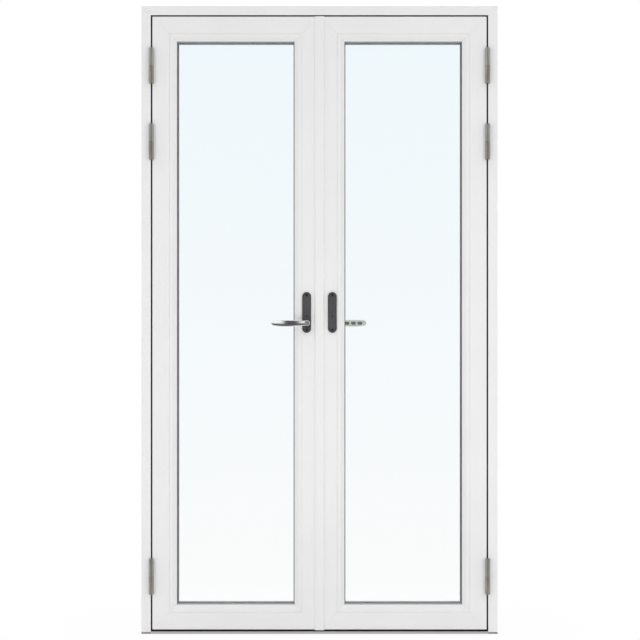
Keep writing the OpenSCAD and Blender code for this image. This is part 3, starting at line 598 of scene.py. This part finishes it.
class DOORS_OT_leaf_cladding(bpy.types.Operator):
    """Coat the cladding, the glazing beads and the meeting strip"""

    bl_idname = "doors.leaf_cladding"
    bl_label = "Leaf cladding"

    def execute(self, context):
        paint = context.scene.door_paint
        coat = cladding_paint(paint)
        for side in SIDES:
            dress(side + "_cladding", coat, paint.edge)
            dress(side + "_glazing_beads", coat, paint.edge)
        dress("meeting_strip", cladding_paint(paint, "strip_powder_coat", 0.0), paint.edge)
        return {"FINISHED"}


class DOORS_OT_glazing(bpy.types.Operator):
    """Finish the panes, spacers, seals and setting blocks"""

    bl_idname = "doors.glazing"
    bl_label = "Glazing"

    def execute(self, context):
        glass = context.scene.door_glass
        spacer = finish_material(
            "warm_edge_spacer", *shades(glass.spacer, 0.85, 1.2), roughness=0.5, spread=0.1,
            fine=1500.0, broad=60.0)
        block = finish_material(
            "setting_plastic", shade(glass.block_dark, 1.0), shade(glass.block_pale, 1.0), roughness=0.5,
            spread=0.08, fine=1200.0, broad=80.0)
        for side in SIDES:
            dress(side + "_outer_pane", glass_finish(glass))
            dress(side + "_inner_pane", glass_finish(glass))
            dress(side + "_spacer", spacer)
            dress(side + "_glazing_seals", seal_rubber(glass))
            dress(side + "_setting_blocks", block)
        return {"FINISHED"}


class DOORS_OT_hinges(bpy.types.Operator):
    """Plate both halves of the hinges with zinc"""

    bl_idname = "doors.hinges"
    bl_label = "Hinges"

    def execute(self, context):
        metal = context.scene.door_metal
        # Both halves are the same zinc: the frame half's darker copy is a painted reflection, and both
        # darken to a painted shade in the hinges' recesses
        leaf_half = finish_material(
            "bright_zinc", *shades(metal.zinc, 0.88, 1.08), roughness=0.38, spread=0.08,
            stretch=(1.0, 1.0, 0.35), fine=900.0, broad=90.0, metallic=1.0, recess=0.003)
        frame_half = finish_material(
            "aged_zinc", *shades(metal.zinc_painted_reflection, 0.86, 1.1), roughness=0.42, spread=0.08,
            stretch=(1.0, 1.0, 0.35), fine=900.0, broad=70.0, metallic=1.0, recess=0.003)
        for side in SIDES:
            dress(side + "_hinge_knuckles", leaf_half)
            dress(side + "_hinge_pins", frame_half)
        return {"FINISHED"}


class DOORS_OT_lock(bpy.types.Operator):
    """Finish the lock cases, forends, bolts, rods, spindles and keeps"""

    bl_idname = "doors.lock"
    bl_label = "Lock"

    def execute(self, context):
        metal = context.scene.door_metal
        steel = finish_material(
            "plated_steel", *shades(metal.steel, 0.9, 1.08), roughness=0.34, spread=0.07,
            stretch=(1.0, 1.0, 0.08), fine=1300.0, broad=60.0, depth=0.00001, metallic=1.0)
        for side in SIDES:
            for node in ("_lock_case", "_forend", "_spindle", "_hub"):
                dress(side + node, steel)
        for node in ("left_bolts", "left_drive_rods", "upper_shoot_bolt", "lower_shoot_bolt", "head_keep",
                     "threshold_keep"):
            dress(node, steel)
        return {"FINISHED"}


def plate_lacquer(metal):
    """Anthracite lacquer with a fine tooth, with painted shade on the sloping rim and in recesses."""
    name = "anthracite_lacquer"
    if name in bpy.data.materials:
        return bpy.data.materials[name]
    material = finish_material(
        name, *shades(metal.lacquer, 0.92, 1.1), roughness=0.46, spread=0.06, fine=1800.0, broad=35.0,
        recess=0.008)
    tree = material.node_tree
    # Painted shade on faces that tilt away from looking straight out
    flat, sloping = 0.97, 0.8
    facing = place_group(tree, leaf_facing())["Facing"]
    recolour(material, ramp(tree, facing, flat, sloping), shade(metal.rim, 1.0))
    return material


def screw_black(metal):
    """Black finish of the plate screws, with painted shade in their sockets."""
    return finish_material(
        "black_screws", *shades(metal.screw, 0.85, 1.2), roughness=0.4, spread=0.08, fine=2600.0,
        broad=300.0, recess=0.003)


class DOORS_OT_plates(bpy.types.Operator):
    """Lacquer the handle plates and their screws"""

    bl_idname = "doors.plates"
    bl_label = "Handle plates"

    def execute(self, context):
        metal = context.scene.door_metal
        for side in SIDES:
            for face in ("_outer_plate", "_inner_plate"):
                dress(side + face, plate_lacquer(metal), metal.edge)
            dress(side + "_plate_screws", screw_black(metal))
        return {"FINISHED"}


def lever_steel(metal, lever):
    """Polished steel, brushed on the end of the neck and left as cast on the back of the grip, with painted
    shade in its recesses and in the pockets of its back.
    """
    name = "lever_polished_steel"
    if name in bpy.data.materials:
        return bpy.data.materials[name]
    material = finish_material(
        name, *shades(metal.lever, 0.96, 1.03), roughness=0.14, spread=0.03, stretch=(0.06, 1.0, 1.0),
        fine=2400.0, broad=200.0, depth=0.000004, metallic=1.0, recess=0.006)
    tree = material.node_tree
    x, _, z = axes(tree)
    beside = math_node(tree, "SUBTRACT", math_node(tree, "ABSOLUTE", x), abs(SPINDLE.x))
    off_axis = distance(tree, beside, math_node(tree, "SUBTRACT", z, SPINDLE.z))
    neck_end = math_node(tree, "LESS_THAN", off_axis, lever.neck_radius - lever.neck_chamfer)
    edge_on, from_behind = -0.15, -0.5
    back = ramp(tree, place_group(tree, leaf_facing())["Facing"], edge_on, from_behind)
    # Painted shade: the cast back turns near black deep in its pockets
    cast = place_group(tree, recess_shade(), Colour=shade(metal.cast, 1.0), Deep=NEAR_BLACK, Reach=0.02,
                       Contrast=4.5)["Colour"]
    recolour(material, back, cast)
    brushed_roughness, cast_roughness = 0.36, 0.5
    rough = tree.nodes["Principled BSDF"].inputs["Roughness"]
    front = mix_values(tree, neck_end, rough.links[0].from_socket, brushed_roughness)
    tree.links.new(mix_values(tree, back, front, cast_roughness), rough)
    return material


def grip_share(lever, x):
    """How far along the grip a section lies."""
    return min(1.0, max(0.0, x / lever.grip_length))


def grip_end(lever, x):
    """How far a section shrinks towards the two round ends of the grip."""
    past = -x if x < 0 else x - lever.grip_length + lever.neck_radius
    return 1.0 if past <= 0 else math.sqrt(max(0.0, 1 - (past / lever.neck_radius) ** 2))


def grip_height(lever, x):
    """Height of a section of the grip."""
    belly = math.sin(math.pi * grip_share(lever, x) ** lever.belly_bias)
    return lever.grip_height + lever.grip_belly * belly


def grip_centre(lever, x):
    """Middle of a section, with the leaf face at Y 0 and the spindle at Z 0."""
    y = -PLATE_T - lever.neck_length - lever.grip_bow * math.sin(math.pi * grip_share(lever, x))
    return Vector((-x, y, lever.belly_drop * (lever.grip_height - grip_height(lever, x))))


def full_oval(fullness, sides):
    """Points round an oval of half width and half height 1, fuller at its corners than an ellipse."""
    def swell(value):
        return math.copysign(abs(value) ** (2 / fullness), value)
    turns = [2 * math.pi * k / sides for k in range(sides)]
    return [(swell(math.cos(a)), swell(math.sin(a))) for a in turns]


def grip_mesh(lever):
    """Loft of oval sections along the grip, closed at both ends."""
    made = bmesh.new()
    rings = []
    least_height, least_thickness = 0.15, 0.35
    for i in range(lever.rings + 1):
        x = (lever.grip_length + lever.neck_radius) * (1 - math.cos(math.pi * i / lever.rings)) / 2
        x -= lever.neck_radius
        end = grip_end(lever, x)
        tall = grip_height(lever, x) / 2 * max(least_height, end)
        thick = lever.grip_thickness / 2 * max(least_thickness, end)
        centre = grip_centre(lever, x)
        rings.append([made.verts.new(centre + Vector((0, thick * across, tall * up)))
                      for across, up in full_oval(lever.fullness, lever.sides)])
    for ring, following in zip(rings, rings[1:]):
        for k in range(lever.sides):
            other = (k + 1) % lever.sides
            made.faces.new((ring[k], ring[other], following[other], following[k]))
    made.faces.new(reversed(rings[0]))
    made.faces.new(rings[-1])
    return mesh_of(made, "grip")


def mesh_of(made, name):
    """Turns a finished bmesh into a mesh with its faces looking out."""
    bmesh.ops.recalc_face_normals(made, faces=made.faces)
    mesh = bpy.data.meshes.new(name)
    made.to_mesh(mesh)
    made.free()
    return mesh


def prism_mesh(outline, from_y, to_y, name):
    """Prism along Y over an outline of (x, z) points."""
    made = bmesh.new()
    near = [made.verts.new((x, from_y, z)) for x, z in outline]
    far = [made.verts.new((x, to_y, z)) for x, z in outline]
    count = len(outline)
    for k in range(count):
        other = (k + 1) % count
        made.faces.new((near[k], near[other], far[other], far[k]))
    made.faces.new(near)
    made.faces.new(far)
    return mesh_of(made, name)


def stadium(length_x, height_z, centre_x, centre_z, arc=16):
    """Outline with two round ends."""
    radius = height_z / 2
    flat = length_x / 2 - radius
    points = []
    for end in (1, -1):
        for k in range(arc + 1):
            turn = math.pi * (k / arc - 0.5) + (0 if end > 0 else math.pi)
            points.append((centre_x + end * flat + radius * math.cos(turn),
                           centre_z + radius * math.sin(turn)))
    return points


def carve(mesh, tools, name):
    """Joins and cuts a mesh with (mesh, operation) tools, and returns the clean result."""
    body = bpy.data.objects.new("lever_blank", mesh)
    bpy.context.scene.collection.objects.link(body)
    helpers = []
    for tool_mesh, operation in tools:
        helper = bpy.data.objects.new("lever_tool", tool_mesh)
        bpy.context.scene.collection.objects.link(helper)
        step = body.modifiers.new("carve", "BOOLEAN")
        step.object = helper
        step.operation = operation
        step.solver = "EXACT"
        helpers.append(helper)
    graph = bpy.context.evaluated_depsgraph_get()
    result = bpy.data.meshes.new_from_object(body.evaluated_get(graph))
    result.name = name
    for helper in (body, *helpers):
        bpy.data.objects.remove(helper)
    return result


def neck_mesh(lever, sides=64):
    """Round neck, turned about Y, that ends in a chamfered disc."""
    front = -PLATE_T - lever.neck_length - lever.grip_thickness / 2 - lever.neck_proud
    inner = lever.neck_radius - lever.neck_chamfer
    made = bmesh.new()
    rings = []
    shoulder = front + lever.neck_chamfer
    turn = [2 * math.pi * k / sides for k in range(sides)]
    for radius, y in ((lever.neck_radius, 0.0), (lever.neck_radius, shoulder), (inner, front)):
        rings.append([made.verts.new((radius * math.cos(a), y, radius * math.sin(a))) for a in turn])
    for ring, following in zip(rings, rings[1:]):
        for k in range(sides):
            other = (k + 1) % sides
            made.faces.new((ring[k], ring[other], following[other], following[k]))
    made.faces.new(rings[0])
    made.faces.new(rings[-1])
    return mesh_of(made, "neck")


def lever_mesh(lever, name):
    """A whole lever: grip, neck, spindle socket and the pockets in its back."""
    tools = [(neck_mesh(lever), "UNION")]
    for i in range(lever.pocket_count):
        centre = grip_centre(lever, lever.pocket_start + i * lever.pocket_pitch)
        back = centre.y + lever.grip_thickness / 2
        outline = stadium(lever.pocket_length, lever.pocket_height, centre.x, centre.z)
        tools.append((prism_mesh(outline, back - lever.pocket_depth, back + lever.grip_thickness, "pocket"),
                      "DIFFERENCE"))
    half = lever.socket_side / 2
    square = ((half, half), (-half, half), (-half, -half), (half, -half))
    tools.append((prism_mesh(square, -PLATE_T - lever.socket_depth, half, "socket"), "DIFFERENCE"))
    return carve(grip_mesh(lever), tools, name)


def smooth_shade(mesh, sharp_deg=40, merge=0.000002):
    """Shades a mesh smoothly, apart from its sharp edges."""
    made = bmesh.new()
    made.from_mesh(mesh)
    bmesh.ops.remove_doubles(made, verts=made.verts, dist=merge)
    for face in made.faces:
        face.smooth = True
    for edge in made.edges:
        edge.smooth = len(edge.link_faces) == 2 and edge.calc_face_angle() < math.radians(sharp_deg)
    made.to_mesh(mesh)
    made.free()


def seat_lever(mesh, right, inside):
    """Moves a lever from its own place to its leaf, on the outside or the room side."""
    for vertex in mesh.vertices:
        x, y, z = vertex.co
        x, y, z = SPINDLE.x + x, (LEAF_IN_Y - y if inside else LEAF_OUT_Y + y), SPINDLE.z + z
        vertex.co = (-x if right else x, y, z)
    if right != inside:
        mesh.flip_normals()


class DOORS_OT_levers(bpy.types.Operator):
    """Loft the three levers and put them on their spindles"""

    bl_idname = "doors.levers"
    bl_label = "Levers"

    def execute(self, context):
        lever = context.scene.door_lever
        steel = lever_steel(context.scene.door_metal, lever)
        for name, body, right, inside in (
                ("left_outer_lever", "left_handle", False, False),
                ("left_inner_lever", "left_handle", False, True),
                ("right_inner_lever", "right_handle", True, True)):
            mesh = lever_mesh(lever, name + "_loft")
            seat_lever(mesh, right, inside)
            smooth_shade(mesh)
            new_piece(name + "_loft", mesh, body, "lever_steel", steel, name)
        return {"FINISHED"}


def floor_material(studio):
    """Pale floor that is seen as white, keeps a soft shadow and looks duller in metal from the front."""
    door_reach, shadow_near, shadow_far = 0.5, 0.06, 0.6
    mirror_near, mirror_far = 0.35, 0.9
    dark_near, dark_far = 2.0, 7.0
    material = bpy.data.materials.new("pale_floor")
    material.use_nodes = True
    tree = material.node_tree
    tree.nodes.clear()
    x, y, _ = axes(tree)
    beside = math_node(tree, "SUBTRACT", math_node(tree, "ABSOLUTE", x), door_reach)
    away = distance(tree, math_node(tree, "MAXIMUM", beside, 0.0), y)
    share = ramp(tree, away, shadow_near, shadow_far, studio.floor_white, 1.0)
    depth = math_node(tree, "ABSOLUTE", y)
    dull = mix_colours(tree, ramp(tree, depth, dark_near, dark_far), shade(studio.mirror_floor, 1.0),
                       shade(studio.mirror_front, 1.0))
    path = add_node(tree, "LightPath").outputs
    mirrored = math_node(tree, "SUBTRACT", path["Is Glossy Ray"], path["Is Transmission Ray"])
    mirrored = math_node(tree, "MULTIPLY", math_node(tree, "MAXIMUM", mirrored, 0.0),
                         ramp(tree, depth, mirror_near, mirror_far))
    seen = math_node(tree, "MAXIMUM", path["Is Camera Ray"], path["Is Transmission Ray"])
    seen = math_node(tree, "MAXIMUM", seen, path["Is Glossy Ray"])
    matt = add_node(tree, "BsdfDiffuse", {"Color": shade([studio.floor_tone] * 3, 1.0)})
    white = add_node(tree, "Emission", {"Color": mix_colours(tree, mirrored, WHITE, dull), "Strength": 1.0})
    mixed = add_node(tree, "MixShader", {
        0: math_node(tree, "MULTIPLY", seen, share), 1: matt.outputs[0], 2: white.outputs[0]})
    out = add_node(tree, "OutputMaterial")
    tree.links.new(mixed.outputs[0], out.inputs["Surface"])
    return material


def studio_world(studio):
    """White where it is seen, a soft light from all round, and a dark camera side in metal."""
    middle, dark_half, pale_half = 0.05, 0.19, 0.33
    overhead_low, overhead_high = 0.8, 0.98
    world = bpy.data.worlds.new("studio")
    bpy.context.scene.world = world
    world.use_nodes = True
    tree = world.node_tree
    path = add_node(tree, "LightPath").outputs
    x, y, z = axes(tree, "Generated")
    aside = math_node(tree, "ABSOLUTE", math_node(tree, "SUBTRACT", x, middle))
    pale = math_node(tree, "MAXIMUM", ramp(tree, aside, dark_half, pale_half),
                     ramp(tree, z, overhead_low, overhead_high))
    mirrored = mix_colours(tree, pale, shade(studio.mirror_front, 1.0), WHITE)
    sky = ramp(tree, z, 0.0, 1.0, studio.fill, studio.fill + studio.sky)
    level = math_node(tree, "ADD", sky, ramp(tree, y, 0.0, 1.0, 0.0, studio.rear))
    grey = add_node(tree, "CombineColor", {0: level, 1: level, 2: level}).outputs[0]
    light = mix_colours(tree, path["Is Glossy Ray"], grey, mirrored)
    seen = math_node(tree, "MAXIMUM", path["Is Camera Ray"], path["Is Transmission Ray"])
    background = tree.nodes["Background"].inputs
    tree.links.new(mix_colours(tree, seen, light, WHITE), background["Color"])
    background["Strength"].default_value = 1.0


def area_light(name, place, aim, width, height, power):
    """One upright rectangular light that neither the camera nor metal and glass show."""
    data = bpy.data.lights.new(name, "AREA")
    data.shape = "RECTANGLE"
    data.size = width
    data.size_y = height
    data.energy = power
    lamp = bpy.data.objects.new(name, data)
    bpy.context.scene.collection.objects.link(lamp)
    lamp.location = place
    lamp.rotation_mode = "QUATERNION"
    lamp.rotation_quaternion = (Vector(aim) - Vector(place)).to_track_quat("-Z", "Y")
    lamp.visible_camera = lamp.visible_glossy = lamp.visible_transmission = False


def light_doors(studio):
    """Two tall strip lights at the sides and a low light in front."""
    x, y, z = studio.strip
    aim = (0, LEAF_OUT_Y, z)
    area_light("left_strip", (-x, y, z), aim, studio.strip_width, studio.strip_height, studio.left_power)
    area_light("right_strip", (x, y, z), aim, studio.strip_width, studio.strip_height, studio.right_power)
    x, y, z = studio.front
    area_light("front_light", (x, y, z), (x, LEAF_OUT_Y, z), studio.front_width, studio.front_height,
               studio.front_power)


def lay_floor(studio, reach=40.0):
    """A wide floor under the doors, which is no piece of them."""
    made = bmesh.new()
    corners = ((-reach, -reach, 0.0), (reach, -reach, 0.0), (reach, reach, 0.0), (-reach, reach, 0.0))
    made.faces.new([made.verts.new(corner) for corner in corners])
    mesh = mesh_of(made, "floor")
    mesh.materials.append(floor_material(studio))
    floor = bpy.data.objects.new("floor", mesh)
    bpy.context.scene.collection.objects.link(floor)


def set_camera(studio):
    """A level camera in front of the doors."""
    data = bpy.data.cameras.new("camera")
    data.lens = studio.lens
    camera = bpy.data.objects.new("camera", data)
    camera.location = studio.camera
    camera.rotation_euler = (math.radians(90), 0, 0)
    bpy.context.scene.collection.objects.link(camera)
    bpy.context.scene.camera = camera


class DOORS_OT_stage(bpy.types.Operator):
    """Make the floor, the light and the camera"""

    bl_idname = "doors.stage"
    bl_label = "Stage"

    def execute(self, context):
        studio = context.scene.door_studio
        lay_floor(studio)
        studio_world(studio)
        light_doors(studio)
        set_camera(studio)
        context.scene.view_settings.view_transform = "Standard"
        return {"FINISHED"}


OPERATORS = (DOORS_OT_frame, DOORS_OT_threshold, DOORS_OT_leaf_timber, DOORS_OT_leaf_cladding,
             DOORS_OT_glazing, DOORS_OT_hinges, DOORS_OT_lock, DOORS_OT_plates, DOORS_OT_levers,
             DOORS_OT_stage)
SETTINGS = {"door_paint": PaintSettings, "door_glass": GlassSettings, "door_metal": MetalSettings,
            "door_lever": LeverSettings, "door_studio": StudioSettings}


class DOORS_PT_looks(bpy.types.Panel):
    """Sizes, colours and steps of the doors"""

    bl_idname = "DOORS_PT_looks"
    bl_label = "Glazed Double Doors"
    bl_space_type = "VIEW_3D"
    bl_region_type = "UI"
    bl_category = "Doors"

    def draw(self, context):
        for name in SETTINGS:
            box = self.layout.box()
            settings = getattr(context.scene, name)
            for key in settings.__annotations__:
                box.prop(settings, key)
        for operator in OPERATORS:
            self.layout.operator(operator.bl_idname)


def register():
    """Registers the settings, the steps and the panel."""
    for name, kind in SETTINGS.items():
        bpy.utils.register_class(kind)
        setattr(bpy.types.Scene, name, bpy.props.PointerProperty(type=kind))
    for kind in (*OPERATORS, DOORS_PT_looks):
        bpy.utils.register_class(kind)


def unregister():
    """Takes everything out again."""
    for kind in (DOORS_PT_looks, *reversed(OPERATORS)):
        bpy.utils.unregister_class(kind)
    for name, kind in SETTINGS.items():
        delattr(bpy.types.Scene, name)
        bpy.utils.unregister_class(kind)


def main():
    """Builds the looks step by step."""
    register()
    bpy.ops.doors.frame()
    bpy.ops.doors.threshold()
    bpy.ops.doors.leaf_timber()
    bpy.ops.doors.leaf_cladding()
    bpy.ops.doors.glazing()
    bpy.ops.doors.hinges()
    bpy.ops.doors.lock()
    bpy.ops.doors.plates()
    bpy.ops.doors.levers()
    bpy.ops.doors.stage()


if __name__ == "__main__":
    main()
